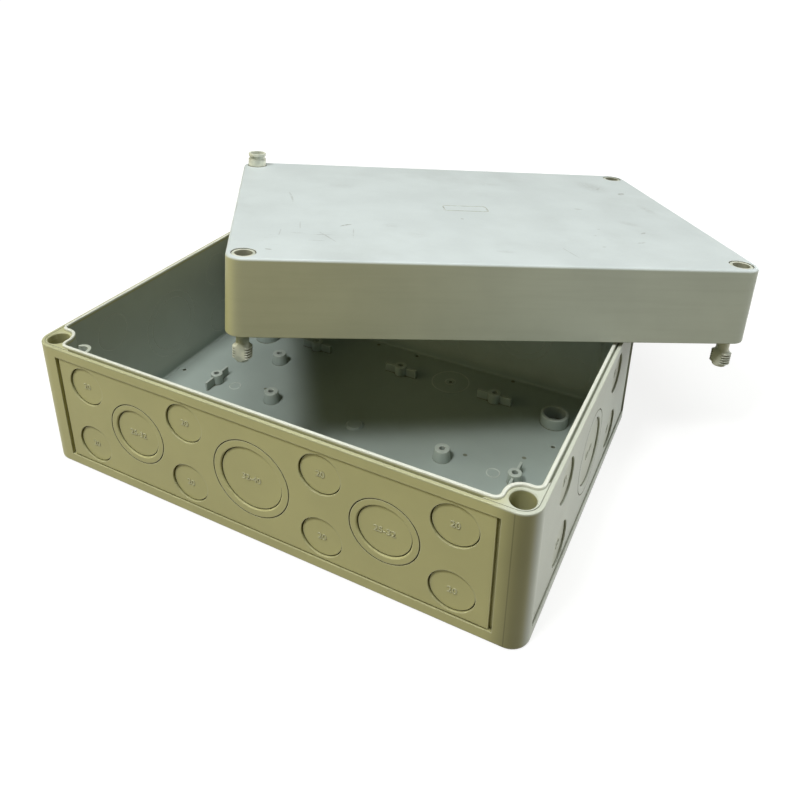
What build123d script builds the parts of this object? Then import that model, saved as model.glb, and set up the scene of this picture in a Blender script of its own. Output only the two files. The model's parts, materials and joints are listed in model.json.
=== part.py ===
from build123d import *
import os
from math import atan2, cos, degrees, radians, sin

# Junction box of grey moulded plastic, standing open: a deep base with break-out
# knockouts in its four walls, and a deep lid that has been swung aside on its
# back left captive screw and leans on the right wall. Millimetres, +Z up. The
# origin is the middle of the base's underside, +X along the long wall to the
# right and +Y to the back.

# Outside of the closed box
BOX_LENGTH = 254.0
BOX_WIDTH = 180.0
BASE_HEIGHT = 68.6
LID_HEIGHT = 38.5
CORNER_RADIUS = 8.5
FOOT_ROUND = 1.2
FLOOR_ROUND = 1.5
RIM_ROUND = 0.4

# Base walls and rim
WALL = 4.0
FLOOR = 2.6
LIP_WIDTH = 1.5
TONGUE_WIDTH = 1.5
TONGUE_RISE = 1.2
CHANNEL_DEPTH = 1.6
BEND_RADIUS = 4.0
SMALLEST_BEND = 0.8
CORNER_LINE = 0.4

# Screw posts in the four corners
POST_INSET = 8.1
POST_BORE = 10.3
POST_BORE_DEPTH = 42.0
POST_WALL = 1.25
POST_CHAMFER = 0.5
CHAMFER_SLOPE = 45.0

# Sunk panels of the four walls
PANEL_SINK = 0.7
PANEL_TOP_MARGIN = 5.1
PANEL_BOTTOM_MARGIN = 5.7
PANEL_END_LONG = 13.3
PANEL_END_SHORT = 9.2
SLOT_WIDTH = 1.7
SLOT_ROUND = 0.6
SLOT_SINK = 1.5
LINE_WIDTH = 0.45
LINE_SINK = 0.5

# Knockouts: sizes of the openings that they leave, and their places
SIZE_20 = 20.5
SIZE_25 = 25.3
SIZE_32 = 32.5
SIZE_40 = 40.5
ROW_SPREAD = 33.6
OUTER_PAIR_SPREAD = 191.8
INNER_PAIR_SPREAD = 71.6
DOUBLE_SPREAD = 131.6
SIDE_PAIR_SPREAD = 89.0
BREAK_GAP = 0.45
WEB_THICKNESS = 0.8
WEB_GAP = 0.05
DISC_SINK = 0.9
INNER_DISC_SINK = 0.9
RING_ROUND = 0.6

# Bosses on the floor
BOSS_HEIGHT = 6.4
BOSS_FOOT = 9.4
BOSS_TOP = 8.0
BOSS_PILOT = 3.2
BOSS_ROUND = 0.4
PILOT_DEPTH = 7.0
WING_BOSS = 7.0
WING_SPAN = 20.0
WING_THICKNESS = 1.8
WING_HEIGHT = 5.4
END_WING_THICKNESS = 1.2
PLATE_PITCH = 59.5
PLATE_ROW_SPREAD = 119.0
RAIL_SPREAD = 106.4
END_SPREAD = 184.4
STAGGER_X = 72.0
STAGGER_Y = 36.0

# Wells for the wall screws
WELL_SPREAD_X = 191.0
WELL_SPREAD_Y = 113.0
WELL_OUTSIDE = 15.0
WELL_BORE = 12.0
WELL_HEIGHT = 6.4
WELL_WEB = 1.6
WALL_SCREW_HOLE = 5.2

# Small marks that the mould leaves on the floor
GATE_DOME = 10.0
GATE_RISE = 1.0
GATE_Y = 2.5
PIT = 2.4
PIT_DEPTH = 1.2
PIT_PLACES = [(-118.4, 1.0), (0.0, 82.5), (29.8, 66.0), (101.2, 35.9)]

# Open eye on the front wall near the left corner
EYE_OUTSIDE = 9.0
EYE_WALL = 1.6
EYE_X = -102.3
EYE_DROP = 1.0
EYE_DEPTH = 5.0
EYE_MOUTH = 3.6

# Lid
LID_TOP = 2.8
LID_SKIRT = 2.8
LID_EDGE_ROUND = 1.3
LID_RIM_HEIGHT = 7.0
GROOVE_CLEARANCE = 0.5
GROOVE_DEPTH = 3.0
GROOVE_INNER_WALL = 1.5
INNER_WALL_SHORT = 1.4
GASKET_THICKNESS = 1.5
GASKET_CLEARANCE = 0.15

# Captive screws
SHANK = 6.2
HEAD = 11.0
HEAD_DEPTH = 9.0
HEAD_FLANGE = 1.6
HEAD_NECK = 9.8
NECK_HEIGHT = 2.2
HEAD_CUP = 8.2
CUP_DEPTH = 6.5
CUP_SLOT_LENGTH = 7.2
CUP_SLOT_WIDTH = 1.6
CUP_SLOT_DEPTH = 1.4
WINDOW_WIDTH = 4.0
WINDOW_HEIGHT = 1.2
SCREW_REACH = 15.2
HEAD_ROUND = 0.3
CATCH_LENGTH = 9.2
CATCH = 9.4
CATCH_ROOT = 7.6
CATCH_FLATS = 6.4
CATCH_RIDGES = 5
CATCH_CREST = 0.4
CATCH_TIP = 1.4
SCREW_CLEARANCE = 0.3
HEAD_SINK = 0.3
CATCH_ROOM = 8.0

# Rest place of the lid: swung on its back left screw, leaning back over the line
# from that screw's post to the spot where its front skirt crosses the right wall
LID_SWING = 34.05
LID_LEAN = 6.2
LID_LIFT = 1.65
RAISED_SCREW = 8.4

# Turn of the flats of each captive screw, in degrees
ANGLE_FRONT_LEFT = 69.0
ANGLE_FRONT_RIGHT = 24.0
ANGLE_BACK_RIGHT = 24.0
ANGLE_BACK_LEFT = 59.0

# Worked out from the sizes above
POST_X = BOX_LENGTH / 2 - POST_INSET
POST_Y = BOX_WIDTH / 2 - POST_INSET
TONGUE_INSET = WALL - TONGUE_WIDTH
TONGUE_REACH = POST_BORE / 2 + POST_WALL
PANEL_THICKNESS = WALL - PANEL_SINK
PANEL_HEIGHT = BASE_HEIGHT - PANEL_TOP_MARGIN - PANEL_BOTTOM_MARGIN
PANEL_MIDDLE = PANEL_BOTTOM_MARGIN + PANEL_HEIGHT / 2
POST_PLACES = GridLocations(2 * POST_X, 2 * POST_Y, 2, 2)
SIDES = ("front", "right", "back", "left")

# Places of the bosses on the floor
PLAIN_PLACES = [(x, 0) for x in (-RAIL_SPREAD / 2, RAIL_SPREAD / 2)]
PLAIN_PLACES += [(-STAGGER_X, STAGGER_Y), (STAGGER_X, -STAGGER_Y)]
PLATE_ROWS = (-PLATE_ROW_SPREAD / 2, PLATE_ROW_SPREAD / 2)
ROW_PLACES = [(x, y) for x in (-PLATE_PITCH, 0, PLATE_PITCH) for y in PLATE_ROWS]
END_PLACES = [(x, 0) for x in (-END_SPREAD / 2, END_SPREAD / 2)]

# Groove in the lid's rim, round the base's tongue
GROOVE_OUTSIDE = TONGUE_INSET - GROOVE_CLEARANCE
GROOVE_INSIDE = WALL + GROOVE_CLEARANCE
GROOVE_REACH = TONGUE_REACH - GROOVE_CLEARANCE
GROOVE_INNER_REACH = TONGUE_REACH + TONGUE_WIDTH + GROOVE_CLEARANCE

# Bores in the lid's columns, and the screws in them
HEAD_BORE = HEAD + 2 * SCREW_CLEARANCE
HEAD_BORE_DEPTH = HEAD_SINK + HEAD_DEPTH + SCREW_CLEARANCE
SCREW_LENGTH = LID_HEIGHT - HEAD_SINK + SCREW_REACH
SCREW_SINK = SCREW_REACH - RAISED_SCREW - LID_LIFT
NECK_TOP = -HEAD_FLANGE
NECK_FOOT = -HEAD_FLANGE - NECK_HEIGHT


def rim_plan(inset, reach):
    """Plan inside the walls at an inset, stepping round each corner post at a reach."""
    corner = 2 * (POST_INSET + reach)
    bend = max(BEND_RADIUS - (inset - TONGUE_INSET), SMALLEST_BEND)
    with BuildSketch() as plan:
        Rectangle(BOX_LENGTH - 2 * inset, BOX_WIDTH - 2 * inset)
        with GridLocations(BOX_LENGTH, BOX_WIDTH, 2, 2):
            Rectangle(corner, corner, mode=Mode.SUBTRACT)
        by_distance = plan.vertices().sort_by_distance((0, 0, 0))
        fillet(by_distance[4:], radius=bend)
        fillet(plan.vertices().sort_by_distance((0, 0, 0))[:4], radius=reach)
    return plan.sketch


def outer_plan(inset):
    """Plan of the box's rounded outline, drawn in by an inset."""
    with BuildSketch() as plan:
        RectangleRounded(BOX_LENGTH - 2 * inset, BOX_WIDTH - 2 * inset, CORNER_RADIUS - inset)
    return plan.sketch


def wall_plane(side):
    """Plane on a wall's sunk panel: X along the wall, Y up, Z out of the box."""
    across = BOX_WIDTH / 2 - PANEL_SINK
    along = BOX_LENGTH / 2 - PANEL_SINK
    origins = {
        "front": ((0, -across), (1, 0)),
        "right": ((along, 0), (0, 1)),
        "back": ((0, across), (-1, 0)),
        "left": ((-along, 0), (0, -1)),
    }
    (x, y), (dx, dy) = origins[side]
    return Plane(origin=(x, y, PANEL_MIDDLE), x_dir=(dx, dy, 0), z_dir=(dy, -dx, 0))


def pair_places(side):
    """Centres of the small knockouts of a wall, on its panel's plane."""
    if side in ("front", "back"):
        spreads = [OUTER_PAIR_SPREAD, INNER_PAIR_SPREAD]
    else:
        spreads = [SIDE_PAIR_SPREAD]
    places = []
    for spread in spreads:
        for x in (-spread / 2, spread / 2):
            places += [(x, -ROW_SPREAD / 2), (x, ROW_SPREAD / 2)]
    return places


def double_places(side):
    """Centres of the middle-sized double knockouts of a wall."""
    if side in ("front", "back"):
        return [(-DOUBLE_SPREAD / 2, 0), (DOUBLE_SPREAD / 2, 0)]
    return []


# Base: floor, walls, corner posts, rim, sunk panels, floor bosses
with BuildPart() as base_shell:
    with BuildSketch():
        add(outer_plan(0))
    extrude(amount=BASE_HEIGHT)
    fillet(base_shell.faces().sort_by(Axis.Z)[0].edges(), radius=FOOT_ROUND)
    fillet(base_shell.faces().sort_by(Axis.Z)[-1].edges(), radius=RIM_ROUND)

    # Hollow inside, which follows the posts
    with BuildSketch(Plane.XY.offset(FLOOR)):
        add(rim_plan(WALL, TONGUE_REACH + TONGUE_WIDTH))
    extrude(amount=BASE_HEIGHT, mode=Mode.SUBTRACT)
    fillet(base_shell.faces().filter_by(Axis.Z).sort_by(Axis.Z)[1].edges(), radius=FLOOR_ROUND)

    # Tongue that stands up round the opening
    with BuildSketch(Plane.XY.offset(BASE_HEIGHT)):
        add(rim_plan(TONGUE_INSET, TONGUE_REACH))
        add(rim_plan(WALL, TONGUE_REACH + TONGUE_WIDTH), mode=Mode.SUBTRACT)
    extrude(amount=TONGUE_RISE)
    fillet(base_shell.faces().sort_by(Axis.Z)[-1].edges(), radius=RIM_ROUND)

    # Channel between lip and tongue along each wall
    with BuildSketch(Plane.XY.offset(BASE_HEIGHT)):
        add(rim_plan(LIP_WIDTH, TONGUE_REACH + BEND_RADIUS))
        add(rim_plan(TONGUE_INSET, TONGUE_REACH), mode=Mode.SUBTRACT)
    extrude(amount=-CHANNEL_DEPTH, mode=Mode.SUBTRACT)

    # Fine line that parts the lip from the land at the corners
    with BuildSketch(Plane.XY.offset(BASE_HEIGHT)):
        add(outer_plan(LIP_WIDTH))
        add(outer_plan(LIP_WIDTH + CORNER_LINE), mode=Mode.SUBTRACT)
    extrude(amount=-CORNER_LINE, mode=Mode.SUBTRACT)

    # Bores that take the lid's screws, with a chamfered mouth
    with BuildSketch(Plane.XY.offset(BASE_HEIGHT)):
        with POST_PLACES:
            Circle(POST_BORE / 2)
    extrude(amount=-POST_BORE_DEPTH, mode=Mode.SUBTRACT)
    with BuildSketch(Plane.XY.offset(BASE_HEIGHT)):
        with POST_PLACES:
            Circle(POST_BORE / 2 + POST_CHAMFER)
    extrude(amount=-POST_CHAMFER, taper=CHAMFER_SLOPE, mode=Mode.SUBTRACT)

    # Sunk panels with a deep round-cornered slot at each end and a fine line above and below
    for side in SIDES:
        panel = wall_plane(side)
        if side in ("front", "back"):
            panel_length = BOX_LENGTH - 2 * PANEL_END_LONG
        else:
            panel_length = BOX_WIDTH - 2 * PANEL_END_SHORT
        with BuildSketch(panel):
            Rectangle(panel_length, PANEL_HEIGHT)
        extrude(amount=PANEL_SINK, mode=Mode.SUBTRACT)
        with BuildSketch(panel):
            with GridLocations(panel_length - SLOT_WIDTH, 0, 2, 1):
                RectangleRounded(SLOT_WIDTH, PANEL_HEIGHT, SLOT_ROUND)
        extrude(amount=-SLOT_SINK, mode=Mode.SUBTRACT)
        with BuildSketch(panel):
            with GridLocations(0, PANEL_HEIGHT - LINE_WIDTH, 1, 2):
                Rectangle(panel_length, LINE_WIDTH)
        extrude(amount=-LINE_SINK, mode=Mode.SUBTRACT)

        # Openings that the knockouts fill
        openings = [(SIZE_20, pair_places(side)), (SIZE_32, double_places(side)), (SIZE_40, [(0, 0)])]
        for size, places in openings:
            if places:
                with BuildSketch(panel):
                    with Locations(*places):
                        Circle(size / 2)
                extrude(amount=-PANEL_THICKNESS, mode=Mode.SUBTRACT)

    # Drafted bosses and winged bosses for a mounting plate or rail, with softened tops
    with BuildSketch(Plane.XY.offset(FLOOR)):
        with Locations(*PLAIN_PLACES):
            Circle(BOSS_FOOT / 2)
    extrude(amount=BOSS_HEIGHT, taper=degrees(atan2((BOSS_FOOT - BOSS_TOP) / 2, BOSS_HEIGHT)))
    fillet(base_shell.edges(Select.LAST).group_by(Axis.Z)[-1], radius=BOSS_ROUND)
    with BuildSketch(Plane.XY.offset(FLOOR)):
        with Locations(*ROW_PLACES, *END_PLACES):
            Circle(WING_BOSS / 2)
    extrude(amount=BOSS_HEIGHT)
    fillet(base_shell.edges(Select.LAST).group_by(Axis.Z)[-1], radius=BOSS_ROUND)
    with BuildSketch(Plane.XY.offset(FLOOR)):
        with Locations(*ROW_PLACES):
            Rectangle(WING_SPAN, WING_THICKNESS)
        with Locations(*END_PLACES):
            Rectangle(END_WING_THICKNESS, WING_SPAN)
    extrude(amount=WING_HEIGHT)
    with BuildSketch(Plane.XY.offset(FLOOR + BOSS_HEIGHT)):
        with Locations(*PLAIN_PLACES, *ROW_PLACES, *END_PLACES):
            Circle(BOSS_PILOT / 2)
    extrude(amount=-PILOT_DEPTH, mode=Mode.SUBTRACT)

    # Wells that keep the wall screws apart from the wiring
    well_places = GridLocations(WELL_SPREAD_X, WELL_SPREAD_Y, 2, 2)
    with BuildSketch(Plane.XY.offset(FLOOR)):
        with well_places:
            Circle(WELL_OUTSIDE / 2)
    extrude(amount=WELL_HEIGHT)
    fillet(base_shell.edges(Select.LAST).group_by(Axis.Z)[-1], radius=BOSS_ROUND)
    with BuildSketch(Plane.XY.offset(WELL_WEB)):
        with well_places:
            Circle(WELL_BORE / 2)
    extrude(amount=FLOOR + WELL_HEIGHT, mode=Mode.SUBTRACT)
    with BuildSketch():
        with well_places:
            Circle(WALL_SCREW_HOLE / 2)
    extrude(amount=FLOOR, mode=Mode.SUBTRACT)

    # Gate mark and small pits on the floor
    with BuildSketch(Plane.XY.offset(FLOOR)):
        with Locations((0, GATE_Y)):
            Circle(GATE_DOME / 2)
    extrude(amount=GATE_RISE, taper=CHAMFER_SLOPE)
    with BuildSketch(Plane.XY.offset(FLOOR)):
        with Locations(*PIT_PLACES):
            Circle(PIT / 2)
    extrude(amount=-PIT_DEPTH, mode=Mode.SUBTRACT)

    # Open eye
    eye_y = -BOX_WIDTH / 2 + WALL - EYE_WALL + EYE_OUTSIDE / 2
    with BuildSketch(Plane.XY.offset(BASE_HEIGHT - EYE_DROP)):
        with Locations((EYE_X, eye_y)):
            Circle(EYE_OUTSIDE / 2)
            Circle(EYE_OUTSIDE / 2 - EYE_WALL, mode=Mode.SUBTRACT)
            Rectangle(EYE_OUTSIDE, EYE_MOUTH, align=(Align.MAX, Align.CENTER), mode=Mode.SUBTRACT)
    extrude(amount=-EYE_DEPTH)

os.makedirs("parts", exist_ok=True)
base_shell.part.label = "base_shell"
export_step(base_shell.part, "parts/base_shell.step")

# Knockouts: each wall has small discs in pairs and one large ring with a disc in
# it, and the long walls also have two middle-sized rings with discs. A groove
# runs round each from outside, and the thin web that is left at the inner face
# closes on the opening's edge, where it breaks when the knockout is struck out.
# The discs lie sunk, and each ring has a rounded edge round its disc.
for side in SIDES:
    panel = wall_plane(side)
    inner_face = panel.offset(-PANEL_THICKNESS)
    outward = Axis(panel.origin, panel.z_dir)

    with BuildPart() as small_discs:
        with BuildSketch(inner_face):
            with Locations(*pair_places(side)):
                Circle(SIZE_20 / 2 - BREAK_GAP)
        extrude(amount=PANEL_THICKNESS - DISC_SINK)
        with BuildSketch(inner_face):
            with Locations(*pair_places(side)):
                Circle(SIZE_20 / 2 - WEB_GAP)
        extrude(amount=WEB_THICKNESS)
    small_discs.part.label = f"knockouts_20_{side}"
    export_step(small_discs.part, f"parts/knockouts_20_{side}.step")

    doubles = [("ring_40", "knockout_32", SIZE_40, SIZE_32, [(0, 0)])]
    if double_places(side):
        doubles.append(("rings_32", "knockouts_25", SIZE_32, SIZE_25, double_places(side)))
    for ring_name, disc_name, ring_size, disc_size, places in doubles:
        with BuildPart() as break_rings:
            with BuildSketch(inner_face):
                with Locations(*places):
                    Circle(ring_size / 2 - BREAK_GAP)
                    Circle(disc_size / 2, mode=Mode.SUBTRACT)
            extrude(amount=PANEL_THICKNESS)
            with BuildSketch(inner_face):
                with Locations(*places):
                    Circle(ring_size / 2 - WEB_GAP)
                    Circle(disc_size / 2, mode=Mode.SUBTRACT)
            extrude(amount=WEB_THICKNESS)
            front_edges = break_rings.edges().filter_by(GeomType.CIRCLE).group_by(outward)[-1]
            fillet(front_edges.group_by(SortBy.RADIUS)[0], radius=RING_ROUND)
        break_rings.part.label = f"{ring_name}_{side}"
        export_step(break_rings.part, f"parts/{ring_name}_{side}.step")

        with BuildPart() as break_discs:
            with BuildSketch(inner_face):
                with Locations(*places):
                    Circle(disc_size / 2 - BREAK_GAP)
            extrude(amount=PANEL_THICKNESS - INNER_DISC_SINK)
            with BuildSketch(inner_face):
                with Locations(*places):
                    Circle(disc_size / 2 - WEB_GAP)
            extrude(amount=WEB_THICKNESS)
        break_discs.part.label = f"{disc_name}_{side}"
        export_step(break_discs.part, f"parts/{disc_name}_{side}.step")

# Rest place of the lid. Its underside passes over the back left post and over the
# right wall, and it leans back over the line through those two supports.
swing = radians(LID_SWING)
lean = radians(LID_LEAN)
reach_to_skirt = POST_Y + BOX_WIDTH / 2
wall_x = BOX_LENGTH / 2 - WALL / 2
skirt_x = -POST_X + reach_to_skirt * sin(swing)
skirt_y = POST_Y - reach_to_skirt * cos(swing)
wall_y = skirt_y + (wall_x - skirt_x) * sin(swing) / cos(swing)
support_line = Vector(wall_x + POST_X, wall_y - POST_Y, TONGUE_RISE).normalized()
level_normal = (Vector(0, 0, 1) - support_line * support_line.Z).normalized()
LID_NORMAL = level_normal * cos(lean) + level_normal.cross(support_line) * sin(lean)
heading = Vector(cos(swing), sin(swing), 0)
LID_ALONG = (heading - LID_NORMAL * heading.dot(LID_NORMAL)).normalized()
PIVOT = Vector(-POST_X, POST_Y, BASE_HEIGHT - SCREW_SINK / 2) + LID_NORMAL * (
    (LID_LIFT + SCREW_SINK / 2) / LID_NORMAL.Z
)
PIVOT_PLANE = Plane(origin=PIVOT, x_dir=LID_ALONG, z_dir=LID_NORMAL)
LID_SEAT = Plane(
    origin=PIVOT_PLANE.from_local_coords(Vector(POST_X, -POST_Y, 0)), x_dir=LID_ALONG, z_dir=LID_NORMAL
)
LID_AXIS = Axis(LID_SEAT.origin, LID_SEAT.z_dir)

# Lid: flat top, deep plain skirt, thick rim with the groove, four screw columns
with BuildPart(LID_SEAT) as lid_shell:
    with BuildSketch(LID_SEAT):
        add(outer_plan(0))
    extrude(amount=LID_HEIGHT)
    fillet(lid_shell.faces().sort_by(LID_AXIS)[-1].edges(), radius=LID_EDGE_ROUND)
    fillet(lid_shell.faces().sort_by(LID_AXIS)[0].edges(), radius=RIM_ROUND)

    # Hollow above the rim, then the narrower mouth at the rim
    with BuildSketch(LID_SEAT.offset(LID_RIM_HEIGHT)):
        add(rim_plan(LID_SKIRT, GROOVE_INNER_REACH - GROOVE_INNER_WALL))
    extrude(amount=LID_HEIGHT - LID_TOP - LID_RIM_HEIGHT, mode=Mode.SUBTRACT)
    with BuildSketch(LID_SEAT):
        add(rim_plan(GROOVE_INSIDE + GROOVE_INNER_WALL, GROOVE_INNER_REACH + GROOVE_INNER_WALL))
    extrude(amount=LID_RIM_HEIGHT, mode=Mode.SUBTRACT)

    # Groove for the gasket and the tongue
    with BuildSketch(LID_SEAT):
        add(rim_plan(GROOVE_OUTSIDE, GROOVE_REACH))
        add(rim_plan(GROOVE_INSIDE, GROOVE_INNER_REACH), mode=Mode.SUBTRACT)
    extrude(amount=GROOVE_DEPTH, mode=Mode.SUBTRACT)

    # Inner wall of the groove ends short of the skirt's edge
    with BuildSketch(LID_SEAT):
        add(rim_plan(GROOVE_INSIDE, GROOVE_INNER_REACH))
    extrude(amount=INNER_WALL_SHORT, mode=Mode.SUBTRACT)

    # Stepped bores for the captive screws: room for the catch, collar, head
    for foot, bore, depth in (
        (0, CATCH + 2 * SCREW_CLEARANCE, CATCH_ROOM),
        (0, SHANK + 2 * SCREW_CLEARANCE, LID_HEIGHT),
        (LID_HEIGHT - HEAD_BORE_DEPTH, HEAD_BORE, HEAD_BORE_DEPTH),
    ):
        with BuildSketch(LID_SEAT.offset(foot)):
            with POST_PLACES:
                Circle(bore / 2)
        extrude(amount=depth, mode=Mode.SUBTRACT)
lid_shell.part.label = "lid_shell"
export_step(lid_shell.part, "parts/lid_shell.step")

# Gasket: an endless strip on the groove's bottom
with BuildPart() as lid_gasket:
    with BuildSketch(LID_SEAT.offset(GROOVE_DEPTH - GASKET_THICKNESS)):
        add(rim_plan(GROOVE_OUTSIDE + GASKET_CLEARANCE, GROOVE_REACH + GASKET_CLEARANCE))
        add(
            rim_plan(GROOVE_INSIDE - GASKET_CLEARANCE, GROOVE_INNER_REACH - GASKET_CLEARANCE),
            mode=Mode.SUBTRACT,
        )
    extrude(amount=GASKET_THICKNESS)
lid_gasket.part.label = "lid_gasket"
export_step(lid_gasket.part, "parts/lid_gasket.step")

# Captive screws: cupped head with a flange and a neck, plain shank, and a catch
# with two flats, whose round sides carry ridges that grip in the post after a
# quarter turn. Three hang in the lid and the back left one stands raised, its
# catch in the base's post.
def catch_profile():
    """Half profile of the catch, from its shoulder down, as (radius, height) pairs."""
    top = CATCH_LENGTH - SCREW_LENGTH
    pitch = (CATCH_LENGTH - 2 * CATCH_TIP) / CATCH_RIDGES
    points = [(SHANK / 2, top)]
    for ridge in range(CATCH_RIDGES):
        ridge_top = top - CATCH_TIP - ridge * pitch
        points.append((CATCH_ROOT / 2, ridge_top))
        points.append((CATCH / 2, ridge_top - (pitch - CATCH_CREST) / 2))
        points.append((CATCH / 2, ridge_top - (pitch + CATCH_CREST) / 2))
    points.append((CATCH_ROOT / 2, CATCH_TIP - SCREW_LENGTH))
    points.append((SHANK / 2, -SCREW_LENGTH))
    return points


for name, column_x, column_y, raised, flats_angle in (
    ("front_left", -POST_X, -POST_Y, 0, ANGLE_FRONT_LEFT),
    ("front_right", POST_X, -POST_Y, 0, ANGLE_FRONT_RIGHT),
    ("back_right", POST_X, POST_Y, 0, ANGLE_BACK_RIGHT),
    ("back_left", -POST_X, POST_Y, RAISED_SCREW, ANGLE_BACK_LEFT),
):
    head_top = LID_SEAT.from_local_coords(Vector(column_x, column_y, LID_HEIGHT - HEAD_SINK + raised))
    turn = radians(flats_angle)
    flat_normal = LID_SEAT.x_dir * cos(turn) + LID_SEAT.y_dir * sin(turn)
    screw_plane = Plane(origin=head_top, x_dir=flat_normal, z_dir=LID_SEAT.z_dir)
    side_plane = Plane(origin=head_top, x_dir=flat_normal, z_dir=-screw_plane.y_dir)
    with BuildPart() as captive_screw:
        with BuildSketch(side_plane):
            with BuildLine():
                Polyline(
                    (0, 0),
                    (HEAD / 2, 0),
                    (HEAD / 2, NECK_TOP),
                    (HEAD_NECK / 2, NECK_TOP),
                    (HEAD_NECK / 2, NECK_FOOT),
                    (HEAD / 2, NECK_FOOT),
                    (HEAD / 2, -HEAD_DEPTH),
                    (SHANK / 2, -HEAD_DEPTH),
                    *catch_profile(),
                    (0, -SCREW_LENGTH),
                    close=True,
                )
            make_face()
        revolve(axis=Axis(head_top, screw_plane.z_dir))
        fillet(captive_screw.edges().sort_by(LID_AXIS)[-1], radius=HEAD_ROUND)

        # Cup in the head, the driver's slot at its bottom, and the neck's window
        with BuildSketch(screw_plane):
            Circle(HEAD_CUP / 2)
        extrude(amount=-CUP_DEPTH, mode=Mode.SUBTRACT)
        with BuildSketch(screw_plane.offset(-CUP_DEPTH)):
            Rectangle(CUP_SLOT_LENGTH, CUP_SLOT_WIDTH)
        extrude(amount=-CUP_SLOT_DEPTH, mode=Mode.SUBTRACT)
        with BuildSketch(screw_plane.offset(NECK_FOOT + (NECK_HEIGHT - WINDOW_HEIGHT) / 2)):
            Rectangle(HEAD, WINDOW_WIDTH, align=(Align.MAX, Align.CENTER))
        extrude(amount=WINDOW_HEIGHT, mode=Mode.SUBTRACT)

        # Two flats on the catch
        with BuildSketch(screw_plane.offset(-SCREW_LENGTH)):
            with GridLocations(CATCH_FLATS + CATCH, 0, 2, 1):
                Rectangle(CATCH, CATCH)
        extrude(amount=CATCH_LENGTH, mode=Mode.SUBTRACT)
    captive_screw.part.label = f"screw_{name}"
    export_step(captive_screw.part, f"parts/screw_{name}.step")
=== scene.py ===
"""Looks of an open junction box: moulded finishes, low relief, floor, lamps and camera."""
import json
import math

import bmesh
import bpy
import numpy as np
from mathutils import Matrix, Vector


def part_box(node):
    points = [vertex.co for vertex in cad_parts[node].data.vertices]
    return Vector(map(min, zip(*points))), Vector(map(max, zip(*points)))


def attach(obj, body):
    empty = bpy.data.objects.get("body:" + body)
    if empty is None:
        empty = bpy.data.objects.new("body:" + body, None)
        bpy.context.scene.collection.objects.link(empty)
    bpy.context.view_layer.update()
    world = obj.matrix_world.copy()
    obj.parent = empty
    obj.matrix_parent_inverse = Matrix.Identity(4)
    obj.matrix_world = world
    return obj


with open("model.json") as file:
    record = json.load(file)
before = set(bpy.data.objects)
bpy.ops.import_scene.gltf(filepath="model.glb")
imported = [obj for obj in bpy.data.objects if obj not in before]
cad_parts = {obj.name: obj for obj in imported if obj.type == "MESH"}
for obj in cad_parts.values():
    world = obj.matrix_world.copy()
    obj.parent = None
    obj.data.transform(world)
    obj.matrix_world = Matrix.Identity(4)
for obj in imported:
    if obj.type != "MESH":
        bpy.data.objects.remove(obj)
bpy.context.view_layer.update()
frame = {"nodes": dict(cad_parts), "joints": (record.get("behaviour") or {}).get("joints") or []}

bl_info = {
    "name": "Open Junction Box",
    "version": (1, 0, 0),
    "blender": (4, 5, 0),
    "location": "View3D > Sidebar > Junction Box",
    "description": "Finishes an open plastic junction box and sets it on a pale studio floor",
    "category": "Object",
}

# Places read from the frame, in metres
BASE_LOW, BASE_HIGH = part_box("base_shell")
JOINTS = {joint["name"]: joint for joint in frame["joints"]}
LID_PIVOT = Vector(JOINTS["lid_swing"]["pos_m"])
LID_NORMAL = Vector(JOINTS["lid_swing"]["axis"]).normalized()
WALLS = ("front", "right", "back", "left")
MM = 0.001

# Lid's own axes at rest: X along its long side, Z out of its top, origin at its middle on the rim
LID_SWING = math.radians(34.05)
LID_LENGTH = 0.254
LID_WIDTH = 0.180
LID_HEIGHT = 0.0385
COLUMN_INSET = 0.0081


def lid_matrix():
    """Place of the lid's axes: its long side is the swung heading, laid across the hinge axis."""
    heading = Vector((math.cos(LID_SWING), math.sin(LID_SWING), 0))
    along = (heading - LID_NORMAL * heading.dot(LID_NORMAL)).normalized()
    across = LID_NORMAL.cross(along)
    reach = Vector((LID_LENGTH / 2 - COLUMN_INSET, LID_WIDTH / 2 - COLUMN_INSET, 0))
    middle = LID_PIVOT + along * reach.x - across * reach.y
    turned = Matrix((along, across, LID_NORMAL)).transposed().to_4x4()
    return Matrix.Translation(middle) @ turned


LID_PLACE = lid_matrix()


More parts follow.
